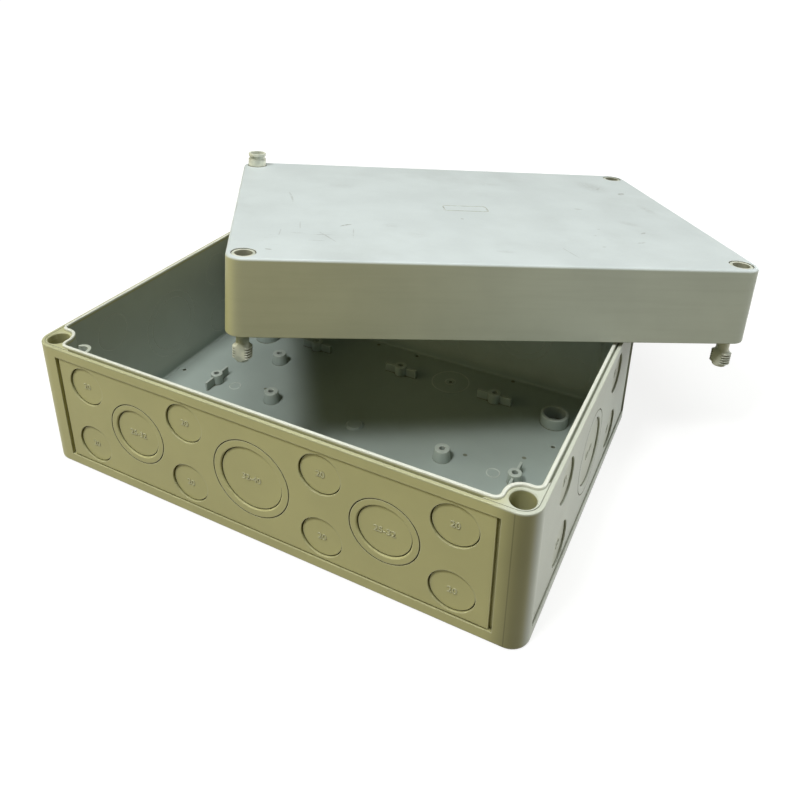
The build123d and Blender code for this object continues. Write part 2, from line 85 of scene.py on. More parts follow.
# Settings that a user would change
class PlasticSettings(bpy.types.PropertyGroup):
    """Colours and surface of the moulded plastic."""

    # The outside's yellow is partly ageing and partly painted warm light from the front.
    outside: bpy.props.FloatVectorProperty(
        name="Outside", description="Base outside, yellowed by age",
        subtype="COLOR", default=(0.58, 0.555, 0.29)
    )
    side: bpy.props.FloatVectorProperty(
        name="Side", description="Base on its cleaner right side",
        subtype="COLOR", default=(0.62, 0.65, 0.59)
    )
    inside: bpy.props.FloatVectorProperty(
        name="Inside", description="Base inside, kept from the light",
        subtype="COLOR", default=(0.46, 0.50, 0.45)
    )
    inside_floor: bpy.props.FloatVectorProperty(
        name="Inside floor", description="Floor inside the base",
        subtype="COLOR", default=(0.34, 0.39, 0.36)
    )
    # Darker colour in the screw posts' bores: painted shade in the holes.
    bore_shade: bpy.props.FloatVectorProperty(
        name="Bore", description="Bores of the screw posts",
        subtype="COLOR", default=(0.42, 0.41, 0.22)
    )
    lip: bpy.props.FloatVectorProperty(
        name="Lip", description="Outer lip of the base's rim",
        subtype="COLOR", default=(0.49, 0.485, 0.29)
    )
    # The tongue's colour is also used for the painted highlight along convex edges.
    tongue: bpy.props.FloatVectorProperty(
        name="Tongue", description="Sealing tongue, clean under the lid",
        subtype="COLOR", default=(0.75, 0.76, 0.69)
    )
    # The top's paler, bluer colour and the skirt's darker one are partly painted light and shade on one
    # plastic.
    lid_top: bpy.props.FloatVectorProperty(
        name="Lid top", description="Top of the lid",
        subtype="COLOR", default=(0.65, 0.70, 0.72)
    )
    lid_skirt: bpy.props.FloatVectorProperty(
        name="Lid skirt", description="Skirt of the lid",
        subtype="COLOR", default=(0.50, 0.53, 0.46)
    )
    # The skirt's yellow is partly ageing and partly painted warm light from the left.
    lid_aged_and_warm_lit: bpy.props.FloatVectorProperty(
        name="Lid aged", description="Skirt of the lid where it has yellowed",
        subtype="COLOR", default=(0.45, 0.44, 0.285)
    )
    screw: bpy.props.FloatVectorProperty(
        name="Screw", description="Captive screws",
        subtype="COLOR", default=(0.82, 0.82, 0.70)
    )
    gasket: bpy.props.FloatVectorProperty(
        name="Gasket", description="Foam strip in the lid",
        subtype="COLOR", default=(0.06, 0.06, 0.06)
    )
    # Colour of real grime, specks and the mould's joint line, and also of painted shade in crevices, in
    # the lid's screw holes, in the screws' cups and on the front right corner.
    grime_and_shade: bpy.props.FloatVectorProperty(
        name="Grime", description="Dust and grease in the crevices",
        subtype="COLOR", default=(0.10, 0.09, 0.03)
    )
    scuff: bpy.props.FloatVectorProperty(
        name="Scuff", description="Smudges and scratches on the lid",
        subtype="COLOR", default=(0.20, 0.20, 0.18)
    )
    roughness: bpy.props.FloatProperty(
        name="Roughness", description="Roughness of clean plastic",
        subtype="FACTOR", min=0, max=1, default=0.42
    )
    # Reach of the painted shade in crevices.
    crevice_shade_reach: bpy.props.FloatProperty(
        name="Grime reach", description="How far from a crevice the grime shows",
        unit="LENGTH", default=0.0016
    )
    edge_round: bpy.props.FloatProperty(
        name="Edge round", description="Softening of moulded edges",
        unit="LENGTH", default=0.0004
    )


class ReliefSettings(bpy.types.PropertyGroup):
    """Sizes of the low relief on the mouldings."""

    digit_height: bpy.props.FloatProperty(
        name="Digit height", description="Height of the sizes on the knockouts",
        unit="LENGTH", default=0.0031
    )
    rise: bpy.props.FloatProperty(
        name="Rise", description="How far the relief stands out",
        unit="LENGTH", default=0.00022
    )
    sink: bpy.props.FloatProperty(
        name="Sink", description="How deep the relief is rooted in its wall",
        unit="LENGTH", default=0.0001
    )
    ridge_width: bpy.props.FloatProperty(
        name="Ridge width", description="Width of the moulded outlines",
        unit="LENGTH", default=0.0005
    )
    label_length: bpy.props.FloatProperty(
        name="Label length", description="Length of the blank label field on the lid",
        unit="LENGTH", default=0.0246
    )
    label_width: bpy.props.FloatProperty(
        name="Label width", description="Width of the blank label field on the lid",
        unit="LENGTH", default=0.0096
    )


class StageSettings(bpy.types.PropertyGroup):
    """Lamps, floor and camera."""

    key_watts: bpy.props.FloatProperty(
        name="Key lamp", description="Softbox high at the front",
        unit="POWER", default=14.5
    )
    top_watts: bpy.props.FloatProperty(
        name="Top lamp", description="Broad softbox overhead",
        unit="POWER", default=10.0
    )
    left_watts: bpy.props.FloatProperty(
        name="Left lamp", description="Warm softbox low at the front left",
        unit="POWER", default=3.5
    )
    right_watts: bpy.props.FloatProperty(
        name="Right lamp", description="Softbox low at the right",
        unit="POWER", default=7.0
    )
    back_watts: bpy.props.FloatProperty(
        name="Back lamp", description="Softbox behind the box",
        unit="POWER", default=3.5
    )
    world_strength: bpy.props.FloatProperty(
        name="World", description="Light from all round",
        default=0.08
    )
    world: bpy.props.FloatVectorProperty(
        name="World colour", description="Tint of the light from all round",
        subtype="COLOR", default=(1.0, 0.95, 0.36)
    )
    floor: bpy.props.FloatVectorProperty(
        name="Floor", description="Floor colour in the light that it sends back",
        subtype="COLOR", default=(0.18, 0.165, 0.09)
    )
    floor_lift: bpy.props.FloatProperty(
        name="Floor lift", description="How white the floor looks in a shadow close to the box",
        default=0.80
    )


def settings():
    """The scene's settings, as registered below."""
    return bpy.context.scene.junction_box


class BoxSettings(bpy.types.PropertyGroup):
    """All settings of the box and its stage."""

    plastic: bpy.props.PointerProperty(type=PlasticSettings)
    relief: bpy.props.PointerProperty(type=ReliefSettings)
    stage: bpy.props.PointerProperty(type=StageSettings)


# Node trees
def put(tree, kind, links=None, **values):
    """Adds a node, sets its properties, and links or sets the named inputs."""
    node = tree.nodes.new(kind)
    for name, value in values.items():
        setattr(node, name, value)
    for key, source in (links or {}).items():
        if isinstance(source, bpy.types.NodeSocket):
            tree.links.new(source, node.inputs[key])
        else:
            node.inputs[key].default_value = source
    return node


def math_node(tree, operation, first, second=0.0, third=0.0):
    """One Math node's result."""
    return put(tree, "ShaderNodeMath", {0: first, 1: second, 2: third}, operation=operation).outputs[0]


def ramp(tree, value, low, high, to_low=0.0, to_high=1.0):
    """Smooth step from to_low to to_high as value goes from low to high."""
    links = {"Value": value, "From Min": low, "From Max": high, "To Min": to_low, "To Max": to_high}
    return put(tree, "ShaderNodeMapRange", links, interpolation_type="SMOOTHSTEP").outputs[0]


def mix(tree, factor, first, second, blend="MIX"):
    """Colour mixed from two by a factor."""
    node = put(tree, "ShaderNodeMix", data_type="RGBA", blend_type=blend)
    for index, source in ((0, factor), (6, first), (7, second)):
        if isinstance(source, bpy.types.NodeSocket):
            tree.links.new(source, node.inputs[index])
        else:
            node.inputs[index].default_value = source if index == 0 else (*source[:3], 1.0)
    return node.outputs[2]


def noise(tree, place, scale, detail=2.0, roughness=0.5, stretch=None):
    """Noise of a scale in cycles per millimetre, stretched along an axis where asked."""
    if stretch is not None:
        links = {"Vector": place, "Scale": stretch[0], "Rotation": stretch[1]}
        place = put(tree, "ShaderNodeMapping", links).outputs[0]
    links = {"Vector": place, "Scale": scale, "Detail": detail, "Roughness": roughness}
    return put(tree, "ShaderNodeTexNoise", links).outputs["Fac"]


def piece_place(tree, matrix=None):
    """Object coordinates in millimetres, in the axes of the piece's own place."""
    matrix = Matrix.Identity(4) if matrix is None else matrix
    links = {
        "Vector": put(tree, "ShaderNodeTexCoord").outputs["Object"],
        "Location": matrix.to_translation(),
        "Rotation": matrix.to_euler(),
        "Scale": (MM, MM, MM),
    }
    return put(tree, "ShaderNodeMapping", links, vector_type="TEXTURE").outputs[0]


def touch(tree, place, centre, size, turn=0.0, bow=0.0, core=0.55):
    """One mark: an oval in millimetres, turned and bowed, 1 in its core and 0 at its edge."""
    half = (size[0] / 2, size[1] / 2, 1e6)
    heading = (0, 0, math.radians(turn))
    links = {"Vector": place, "Location": (*centre, 0.0), "Rotation": heading, "Scale": half}
    spot = put(tree, "ShaderNodeMapping", links, vector_type="TEXTURE").outputs[0]
    if bow:
        axes = put(tree, "ShaderNodeSeparateXYZ", {0: spot}).outputs
        square = math_node(tree, "MULTIPLY", axes[0], axes[0])
        bent = math_node(tree, "MULTIPLY_ADD", square, bow, axes[1])
        spot = put(tree, "ShaderNodeCombineXYZ", {0: axes[0], 1: bent, 2: axes[2]}).outputs[0]
    reach = put(tree, "ShaderNodeVectorMath", {0: spot}, operation="LENGTH").outputs["Value"]
    return ramp(tree, reach, 1.0, core)


def fine_scratches(tree, place):
    """Hair lines: noise drawn out along two headings and cut to its crests."""
    lines = []
    for turn in (0.9, 2.1):
        hair = noise(tree, place, 0.30, 3.0, 0.6, ((0.22, 1.9, 1.0), (0, 0, turn)))
        lines.append(ramp(tree, hair, 0.63, 0.72, 0.0, 0.45))
    return strongest(tree, lines)


def strongest(tree, marks):
    """The greater of many masks at every point."""
    total = marks[0]
    for mark in marks[1:]:
        total = math_node(tree, "MAXIMUM", total, mark)
    return total


def plastic_surface(tree, colour, place, rough, dents=None, crevice_shade=0.92):
    """Moulded plastic: faint mottling, fine grain, painted shade in its crevices, and softened edges
    made paler as a painted highlight.
    """
    plastic = settings().plastic
    cloud = noise(tree, place, 0.03, 3.0, 0.55)
    grain = noise(tree, place, 1.1, 3.0, 0.6)
    speck = noise(tree, place, 0.7, 4.0, 0.7)
    shade = ramp(tree, cloud, 0.3, 0.7, 0.96, 1.03)
    mottling = put(tree, "ShaderNodeCombineColor", {0: shade, 1: shade, 2: shade}).outputs[0]
    colour = mix(tree, 1.0, colour, mottling, "MULTIPLY")
    colour = mix(tree, ramp(tree, speck, 0.71, 0.77, 0.0, 0.30), colour, plastic.grime_and_shade)
    # Painted highlight: convex edges, found by ambient occlusion inside the solid, turn towards the
    # tongue's pale colour.
    links = {"Distance": plastic.edge_round * 1.2}
    convex_edges = put(tree, "ShaderNodeAmbientOcclusion", links, samples=4, inside=True)
    colour = mix(tree, ramp(tree, convex_edges.outputs["AO"], 0.92, 0.55, 0.0, 0.35), colour, plastic.tongue)
    # Painted shade: where ambient occlusion finds a crevice, the colour darkens towards the grime
    # colour and the plastic turns rougher.
    open_air = put(tree, "ShaderNodeAmbientOcclusion", {"Distance": plastic.crevice_shade_reach}, samples=8)
    painted_shade = ramp(tree, open_air.outputs["AO"], 0.78, 0.34, 0.0, 1.0)
    painted_shade = math_node(tree, "MULTIPLY", painted_shade, crevice_shade)
    colour = mix(tree, painted_shade, colour, plastic.grime_and_shade)
    rough_value = math_node(tree, "ADD", ramp(tree, grain, 0.3, 0.7, -0.05, 0.06), rough)
    rough_value = math_node(tree, "MULTIPLY_ADD", painted_shade, 0.35, rough_value)
    soft = put(tree, "ShaderNodeBevel", {"Radius": plastic.edge_round}, samples=6).outputs[0]
    height = math_node(tree, "MULTIPLY", grain, 0.25)
    if dents is not None:
        height = math_node(tree, "SUBTRACT", height, dents)
    links = {"Height": height, "Normal": soft, "Strength": 0.12, "Distance": 0.0003}
    bump = put(tree, "ShaderNodeBump", links)
    links = {"Base Color": colour, "Roughness": rough_value, "Normal": bump.outputs[0]}
    links["Specular IOR Level"] = 0.35
    shader = put(tree, "ShaderNodeBsdfPrincipled", links)
    put(tree, "ShaderNodeOutputMaterial", {"Surface": shader.outputs[0]})


def fresh_material(name):
    """An empty node material."""
    material = bpy.data.materials.new(name)
    material.use_nodes = True
    material.node_tree.nodes.clear()
    return material, material.node_tree


def corner_reach(tree, axes):
    """Distance in millimetres from the nearest of the four upright screw axes at the corners."""
    screw_x = (LID_LENGTH / 2 - COLUMN_INSET) / MM
    screw_y = (LID_WIDTH / 2 - COLUMN_INSET) / MM
    across = math_node(tree, "SUBTRACT", math_node(tree, "ABSOLUTE", axes[0]), screw_x)
    deep = math_node(tree, "SUBTRACT", math_node(tree, "ABSOLUTE", axes[1]), screw_y)
    flat = put(tree, "ShaderNodeCombineXYZ", {0: across, 1: deep}).outputs[0]
    return put(tree, "ShaderNodeVectorMath", {0: flat}, operation="LENGTH").outputs["Value"]


def wall_depth(tree, axes, half_length, half_width):
    """Distance in millimetres from a rounded rectangle's outline, below zero inside it."""
    past = []
    for axis, half in ((axes[0], half_length), (axes[1], half_width)):
        past.append(math_node(tree, "SUBTRACT", math_node(tree, "ABSOLUTE", axis), half - CORNER_ROUND))
    beyond = [math_node(tree, "MAXIMUM", value, 0.0) for value in past]
    flat = put(tree, "ShaderNodeCombineXYZ", {0: beyond[0], 1: beyond[1]}).outputs[0]
    reach = put(tree, "ShaderNodeVectorMath", {0: flat}, operation="LENGTH").outputs["Value"]
    within = math_node(tree, "MINIMUM", math_node(tree, "MAXIMUM", past[0], past[1]), 0.0)
    return math_node(tree, "SUBTRACT", math_node(tree, "ADD", reach, within), CORNER_ROUND)


# Radius of the base's upright corners in millimetres
CORNER_ROUND = 8.5

# Dark specks on the floor inside the base, left by the pins that pushed it out of its mould
FLOOR_SPECKS = ((62.5, 84.0), (-27.5, 83.0), (62.9, 7.9), (-62.9, 7.9), (90.6, 20.2), (-90.6, -20.2))

# Place along the front, in millimetres, of the line that the mould's joint left beside the right corner
PARTING_LINE = 118.6

# Length and width in millimetres of the dark patch on the corner at the front right, partly dirt from
# handling and partly painted shade
CORNER_DIRT_AND_SHADE = (27.0, 18.0)


def base_plastic(name="base_plastic", crevice_shade=0.92):
    """Grey plastic of the base: yellowed outside, partly as painted warm light, cooler inside and at
    its right, pale on the rim, with painted shade in its bores and on its right wall towards the back,
    and dirt with painted shade on its front right corner.
    """
    material, tree = fresh_material(name)
    plastic = settings().plastic
    place = piece_place(tree)
    axes = put(tree, "ShaderNodeSeparateXYZ", {0: place}).outputs
    half_length = BASE_HIGH.x / MM
    half_width = BASE_HIGH.y / MM
    top = BASE_HIGH.z / MM
    out = wall_depth(tree, axes, half_length, half_width)
    sideways = ramp(tree, math_node(tree, "SUBTRACT", axes[0], half_length), -4.5, -0.8)
    beside = ramp(tree, axes[1], -half_width + 1.5, -half_width + 5.5)
    # Painted shadow of the lid: the right wall turns to the darker inside grey towards the back.
    shade_towards_back = ramp(tree, axes[1], -half_width * 0.6, half_width, 0.0, 0.8)
    side = mix(tree, shade_towards_back, plastic.side, plastic.inside)
    turned = math_node(tree, "MULTIPLY", sideways, beside)
    skin = mix(tree, turned, plastic.outside, side)
    # Dark patch on the front right corner: partly dirt, partly painted shade.
    corner_dirt_and_shade = touch(tree, place, (half_length - 4.5, -half_width + 0.5), CORNER_DIRT_AND_SHADE, core=0.1)
    painted_shade = mix(tree, turned, plastic.grime_and_shade, plastic.scuff)
    skin = mix(tree, math_node(tree, "MULTIPLY", corner_dirt_and_shade, 0.66), skin, painted_shade)
    joint = math_node(tree, "ABSOLUTE", math_node(tree, "SUBTRACT", axes[0], PARTING_LINE))
    joint = ramp(tree, joint, 0.34, 0.14, 0.0, 0.5)
    front_only = ramp(tree, axes[1], 2.0 - half_width, 1.4 - half_width)
    skin = mix(tree, math_node(tree, "MULTIPLY", joint, front_only), skin, plastic.grime_and_shade)
    floor = mix(tree, ramp(tree, axes[2], 3.0, 12.0), plastic.inside_floor, plastic.inside)
    specks = strongest(tree, [touch(tree, place, speck, (3.0, 2.6)) for speck in FLOOR_SPECKS])
    specks = math_node(tree, "MULTIPLY", specks, ramp(tree, axes[2], 3.4, 3.0, 0.0, 0.7))
    floor = mix(tree, specks, floor, plastic.grime_and_shade)
    colour = mix(tree, ramp(tree, out, -3.6, -3.0), floor, skin)
    # Painted shade in the bores of the screw posts.
    from_post = corner_reach(tree, axes)
    colour = mix(tree, ramp(tree, from_post, 7.2, 6.8), colour, plastic.bore_shade)
    raised = ramp(tree, axes[2], top - 1.1, top - 0.8)
    tip = math_node(tree, "MULTIPLY", ramp(tree, out, -2.2, -2.6), raised)
    paler = ramp(tree, axes[0], half_length - 20.0, half_length - 7.0, 0.0, 0.8)
    lip = mix(tree, paler, plastic.lip, plastic.side)
    crown = mix(tree, tip, lip, plastic.tongue)
    crest = ramp(tree, axes[2], top - 2.4, top - 1.4)
    channel = math_node(tree, "MULTIPLY", ramp(tree, out, -1.0, -1.4), ramp(tree, out, -3.9, -3.5))
    channel = math_node(tree, "MULTIPLY", channel, ramp(tree, axes[2], top - 4.6, top - 4.2))
    crest = math_node(tree, "MAXIMUM", crest, channel)
    colour = mix(tree, crest, colour, crown)
    if crevice_shade:
        crevice_shade = ramp(tree, crest, 0.0, 1.0, crevice_shade, crevice_shade * 0.2)
    plastic_surface(tree, colour, place, plastic.roughness, crevice_shade=crevice_shade)
    return material


# Marks on the lid's top: centre, length and width, turn in degrees, bow and depth of colour
LID_MARKS = {
    "curved scratch near the left end": ((-97, 11), (25, 1.4), -84, 1.0, 0.30),
    "hooked scratch": ((-70, -38), (9, 1.5), 32, 0.6, 0.75),
    "long pale scratch": ((-67, -51), (19, 0.9), -95, 0.0, 0.25),
    "short pale scratch": ((-103, -52), (12, 0.9), -96, 0.0, 0.25),
    "twin of the short scratch": ((-93, -40), (14, 0.9), -91, 0.0, 0.25),
    "crackled scratch": ((-80, -57), (20, 1.1), -62, 0.5, 0.40),
    "dashes at the front left": ((-108, -77), (4, 1.6), -15, 0.0, 0.50),
    "speck beside the label": ((-6, -21), (2.2, 2.2), 0, 0.0, 0.45),
    "dash at the right": ((89, -37), (5, 1.6), 35, 0.0, 0.65),
    "long line at the front": ((37, -71), (19, 0.8), -74, 0.0, 0.35),
    "speck at the right": ((66, -32), (2, 2), 0, 0.0, 0.40),
    "second speck at the right": ((60, -43), (2, 2), 0, 0.0, 0.30),
    "third speck at the right": ((58, -61), (3, 1.5), 10, 0.0, 0.35),
    "rub at the right": ((81, -53), (7, 2.4), 25, 0.0, 0.30),
    "dark smudge at the back right": ((109, 42), (7, 4), 40, 0.0, 0.55),
    "small smudge at the back": ((98, 53), (8, 3), 60, 0.3, 0.35),
    "dash behind the label": ((68, 5), (6, 2), -15, 0.0, 0.35),
}
LID_SMUDGES = {
    "left": ((-67, 38), (22, 14), 0, 0.12),
    "front left": ((-47, -37), (14, 12), 20, 0.14),
    "front middle": ((-35, -50), (18, 16), -10, 0.12),
    "behind the label": ((26, 54), (26, 12), 0, 0.14),
    "back right": ((95, 58), (40, 22), -70, 0.20),
    "right": ((111, 10), (36, 10), -85, 0.22),
    "front right": ((88, -21), (20, 10), -40, 0.18),
    "front edge": ((5, -72), (16, 6), -5, 0.16),
}


# Corner of the lid's top with the most hair lines: centre, length and width, turn in degrees
SCRATCHED_CORNER = ((-88, -55), (86, 52), 0)


def lid_plastic():
    """Grey plastic of the lid: pale scratched top, and a darker skirt yellowed towards its left, partly
    as painted warm light, with a painted highlight at its left end and painted shade in its screw
    holes.
    """
    material, tree = fresh_material("lid_plastic")
    plastic = settings().plastic
    place = piece_place(tree, LID_PLACE)
    axes = put(tree, "ShaderNodeSeparateXYZ", {0: place}).outputs
    height = LID_HEIGHT / MM
    half_length = LID_LENGTH / MM / 2
    top = ramp(tree, axes[2], height - 1.6, height - 0.3)
    # The skirt yellows towards its left: partly ageing, partly painted warm light.
    aged_and_warm_lit = ramp(tree, axes[0], half_length * 0.55, -half_length * 0.9)
    skirt = mix(tree, aged_and_warm_lit, plastic.lid_skirt, plastic.lid_aged_and_warm_lit)
    # Painted highlight: the skirt's left end turns to the paler outside colour.
    left_end_highlight = ramp(tree, axes[0], 6.0 - half_length, 1.0 - half_length, 0.0, 0.8)
    skirt = mix(tree, left_end_highlight, skirt, plastic.outside)
    streak = noise(tree, place, 0.30, 3.0, 0.6, ((0.06, 0.06, 1.0), (0, 0, 0)))
    skirt = mix(tree, ramp(tree, streak, 0.42, 0.72, 0.0, 0.05), skirt, plastic.grime_and_shade)
    # The top takes the paler colour and the skirt the darker one, partly as painted light and shade.
    colour = mix(tree, top, skirt, plastic.lid_top)
    broken = ramp(tree, noise(tree, place, 0.5, 3.0, 0.6), 0.36, 0.56, 0.35, 1.0)
    marks = []
    for centre, size, turn, bow, depth in LID_MARKS.values():
        marks.append(math_node(tree, "MULTIPLY", touch(tree, place, centre, size, turn, bow), depth))
    smudges = []
    for centre, size, turn, depth in LID_SMUDGES.values():
        smudge = touch(tree, place, centre, size, turn, core=0.0)
        smudges.append(math_node(tree, "MULTIPLY", smudge, depth))
    film = ramp(tree, noise(tree, place, 0.02, 5.0, 0.6), 0.50, 0.75, 0.0, 0.10)
    scratched = touch(tree, place, *SCRATCHED_CORNER, core=0.0)
    hairs = math_node(tree, "MULTIPLY", fine_scratches(tree, place), scratched)
    worn = math_node(tree, "MULTIPLY", strongest(tree, [*marks, *smudges, hairs]), broken)
    worn = math_node(tree, "MULTIPLY", math_node(tree, "MAXIMUM", worn, film), top)
    colour = mix(tree, worn, colour, plastic.scuff)
    # Painted shade in the lid's screw holes: the colour darkens towards the grime colour down the
    # column.
    in_column = ramp(tree, corner_reach(tree, axes), 6.6, 6.1)
    deep = math_node(tree, "MULTIPLY", in_column, ramp(tree, axes[2], height - 0.8, height - 2.6))
    colour = mix(tree, math_node(tree, "MULTIPLY", deep, 0.80), colour, plastic.grime_and_shade)
    plastic_surface(tree, colour, place, plastic.roughness, worn)
    return material


def label_plastic():
    """Lid plastic of the label field's outline, darkened along it."""
    material, tree = fresh_material("label_plastic")
    plastic = settings().plastic
    place = piece_place(tree, LID_PLACE)
    held = ramp(tree, noise(tree, place, 0.25, 3.0, 0.6), 0.30, 0.60, 0.45, 0.95)
    colour = mix(tree, held, plastic.lid_top, plastic.scuff)
    plastic_surface(tree, colour, place, plastic.roughness, crevice_shade=0.0)
    return material


# Radius in millimetres of the cup in a screw's head
CUP_RADIUS = 4.1


def screw_plastic():
    """Tougher plastic of the captive screws, a little glossier, with painted shade in the cups of their
    heads.
    """
    material, tree = fresh_material("screw_plastic")
    plastic = settings().plastic
    place = piece_place(tree)
    tint = ramp(tree, noise(tree, place, 0.12), 0.35, 0.65)
    colour = mix(tree, tint, plastic.screw, plastic.lid_skirt)
    axes = put(tree, "ShaderNodeSeparateXYZ", {0: piece_place(tree, LID_PLACE)}).outputs
    height = LID_HEIGHT / MM
    # Painted shade: the cup of each screw head darkens, more while the head sits down in its hole.
    in_cup = ramp(tree, corner_reach(tree, axes), CUP_RADIUS + 0.25, CUP_RADIUS)
    cup_shade = math_node(tree, "MULTIPLY", in_cup, ramp(tree, axes[2], height - 8.0, height - 7.0))
    sunk_shade = ramp(tree, axes[2], height + 0.4, height + 0.1, 0.0, 0.65)
    colour = mix(tree, math_node(tree, "MULTIPLY", cup_shade, sunk_shade), colour, plastic.grime_and_shade)
    plastic_surface(tree, colour, place, plastic.roughness - 0.08)
    return material


def gasket_foam():
    """Soft dark foam with open cells."""
    material, tree = fresh_material("gasket_foam")
    place = piece_place(tree)
    links = {"Vector": place, "Scale": 2.4}
    cells = put(tree, "ShaderNodeTexVoronoi", links).outputs["Distance"]
    colour = mix(tree, ramp(tree, cells, 0.1, 0.6), settings().plastic.gasket, (0.16, 0.16, 0.155))
    bump = put(tree, "ShaderNodeBump", {"Height": cells, "Strength": 0.5, "Distance": 0.0004})
    links = {"Base Color": colour, "Roughness": 0.9, "Normal": bump.outputs[0]}
    shader = put(tree, "ShaderNodeBsdfPrincipled", links)
    put(tree, "ShaderNodeOutputMaterial", {"Surface": shader.outputs[0]})
    return material


def dress(names, material):
    """Gives CAD nodes a material in place of their plain one."""
    for name in names:
        mesh = frame["nodes"][name].data
        mesh.materials.clear()
        mesh.materials.append(material)


def named(*starts):
    """Names of the frame's nodes that start with any of these words."""
    return sorted(name for name in frame["nodes"] if name.startswith(starts))


# Low relief
def ring_path(half_length, half_width, radius, steps=48):
    """Rounded rectangle or circle: a turning unit vector times the radius, plus the corner's centre."""
    turn = (np.arange(steps) + 0.5) * 2 * np.pi / steps
    heading = np.stack([np.cos(turn), np.sin(turn)], axis=1)
    corner = np.sign(heading) * np.maximum([half_length - radius, half_width - radius], 0)
    return corner + radius * heading, heading


def ridge(path, heading, width, rise, sink):
    """Closed ridge: a half oval rooted below the plane, carried along the path."""
    arc = np.linspace(0, np.pi, 7)
    profile = np.stack([np.cos(arc) * width / 2, np.sin(arc) * rise], axis=1)
    profile = np.vstack([[width / 2, -sink], profile, [-width / 2, -sink]])
    flat = path[:, None, :] + heading[:, None, :] * profile[None, :, :1]
    up = np.broadcast_to(profile[None, :, 1:], (*flat.shape[:2], 1))
    vertices = np.concatenate([flat, up], axis=2).reshape(-1, 3)
    around, across = len(path), len(profile)
    i, j = np.meshgrid(np.arange(around), np.arange(across), indexing="ij")
    after_i, after_j = (i + 1) % around, (j + 1) % across
    here, ahead = i * across, after_i * across
    faces = np.stack([here + j, ahead + j, ahead + after_j, here + after_j], axis=2)
    return vertices, faces.reshape(-1, 4)


def moulded_mesh(name, shapes):
    """One mesh of several closed shapes, each vertices and faces with the matrix of its place."""
    bm = bmesh.new()
    for vertices, faces, matrix in shapes:
        part = bpy.data.meshes.new(name)
        part.from_pydata(np.asarray(vertices).tolist(), [], np.asarray(faces).tolist())
        part.transform(matrix)
        bm.from_mesh(part)
        bpy.data.meshes.remove(part)
    mesh = bpy.data.meshes.new(name)
    bm.to_mesh(mesh)
    bm.free()
    return mesh


def relief_piece(name, mesh, body, material):
    """A piece of relief that rides on a body and takes the finish of its wall."""
    mesh.materials.append(material)
    piece = bpy.data.objects.new(name, mesh)
    bpy.context.scene.collection.objects.link(piece)
    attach(piece, body)
    return piece


def number_mesh(words):
    """A number in the built-in plain letters as a closed mesh, centred and rooted below zero."""
    relief = settings().relief
    curve = bpy.data.curves.new("number", "FONT")
    curve.body = words
    curve.size = relief.digit_height / CAPITAL_SHARE
    curve.extrude = (relief.rise + relief.sink) / 2
    curve.offset = relief.digit_height * STROKE_GROWTH
    curve.resolution_u = 3
    holder = bpy.data.objects.new("number", curve)
    bpy.context.scene.collection.objects.link(holder)
    shown = holder.evaluated_get(bpy.context.evaluated_depsgraph_get())
    mesh = bpy.data.meshes.new_from_object(shown)
    bpy.data.objects.remove(holder)
    bpy.data.curves.remove(curve)
    corners = np.empty(len(mesh.vertices) * 3)
    mesh.vertices.foreach_get("co", corners)
    corners = corners.reshape(-1, 3)
    middle = (corners.min(axis=0) + corners.max(axis=0)) / 2
    middle[2] -= (relief.rise - relief.sink) / 2
    mesh.transform(Matrix.Translation(Vector(-middle)))
    bm = bmesh.new()
    bm.from_mesh(mesh)
    bmesh.ops.remove_doubles(bm, verts=bm.verts, dist=1e-6)
    bmesh.ops.recalc_face_normals(bm, faces=bm.faces)
    bm.to_mesh(mesh)
    bm.free()
    return mesh


# Share of the letters' size that a digit is high, and how much its strokes are thickened
CAPITAL_SHARE = 0.70
STROKE_GROWTH = 0.022

# Outward direction of each wall, and the direction along it that reads from left to right
WALL_AXES = {
    "front": (Vector((1, 0, 0)), Vector((0, -1, 0))),
    "right": (Vector((0, 1, 0)), Vector((1, 0, 0))),
    "back": (Vector((-1, 0, 0)), Vector((0, 1, 0))),
    "left": (Vector((0, -1, 0)), Vector((-1, 0, 0))),
}

# Numbers on the knockouts: the node that carries them, the places along the wall and the heights
KNOCKOUT_MIDDLE = 0.0346
SMALL_HEIGHTS = (0.0178, 0.0514)
LONG_WALL_NUMBERS = (
    ("20", "knockouts_20", (-0.0959, -0.0358, 0.0358, 0.0959), SMALL_HEIGHTS),
    ("25-32", "knockouts_25", (-0.0658, 0.0658), (KNOCKOUT_MIDDLE,)),
    ("32-40", "knockout_32", (0.0,), (KNOCKOUT_MIDDLE,)),
)
SHORT_WALL_NUMBERS = (
    ("20", "knockouts_20", (-0.0445, 0.0445), SMALL_HEIGHTS),
    ("32-40", "knockout_32", (0.0,), (KNOCKOUT_MIDDLE,)),
)


def wall_place(wall, node, along, height):
    """Matrix of a place on a knockout's outer face, reading upright from outside."""
    heading, outward = WALL_AXES[wall]
    low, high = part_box(node)
    face = max(Vector(low).dot(outward), Vector(high).dot(outward))
    spot = heading * along + outward * face + Vector((0, 0, height))
    turned = Matrix((heading, Vector((0, 0, 1)), outward)).transposed().to_4x4()
    return Matrix.Translation(spot) @ turned


# Operators
class FinishBase(bpy.types.Operator):
    """Gives the base and its knockouts their moulded plastic"""

    bl_idname = "junction_box.finish_base"
    bl_label = "Finish base and knockouts"

    def execute(self, context):
        dress(named("base_shell", "knockout", "ring"), base_plastic())
        return {"FINISHED"}


class FinishLid(bpy.types.Operator):
    """Gives the lid its scuffed plastic"""

    bl_idname = "junction_box.finish_lid"
    bl_label = "Finish lid"

    def execute(self, context):
        dress(["lid_shell"], lid_plastic())
        return {"FINISHED"}


class FinishGasket(bpy.types.Operator):
    """Gives the gasket its foam"""

    bl_idname = "junction_box.finish_gasket"
    bl_label = "Finish gasket"

    def execute(self, context):
        dress(["lid_gasket"], gasket_foam())
        return {"FINISHED"}


